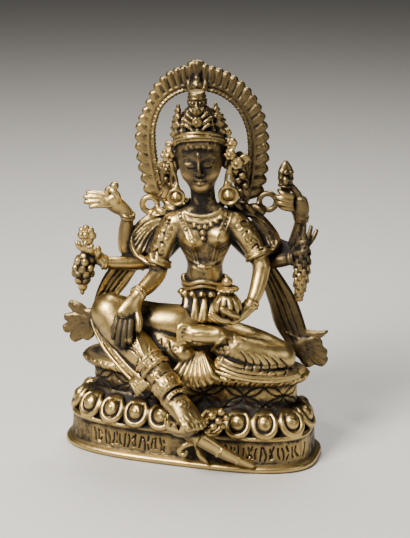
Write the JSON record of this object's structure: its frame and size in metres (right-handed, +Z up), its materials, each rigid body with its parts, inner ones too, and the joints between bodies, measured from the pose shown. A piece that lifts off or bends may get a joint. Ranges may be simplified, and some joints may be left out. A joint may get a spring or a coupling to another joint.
{
  "type": "seated goddess figure",
  "caption": "Cast figure of a many-armed goddess seated at ease on a cushion throne over an oval lotus plinth, before a pointed horseshoe halo of flame leaves.",
  "frame": {"origin": "middle of the plinth's flat underside", "axes": "+Z up, front faces -Y, the viewer's right is +X"},
  "size_m": [0.135, 0.0803, 0.1989],
  "materials": {
    "brass": "cast and chased, rubbed bright on the high places, dark brown patina in the recesses"
  },
  "bodies": {
    "root": {"vasudhara_figure": "brass"}
  },
  "joints": []
}
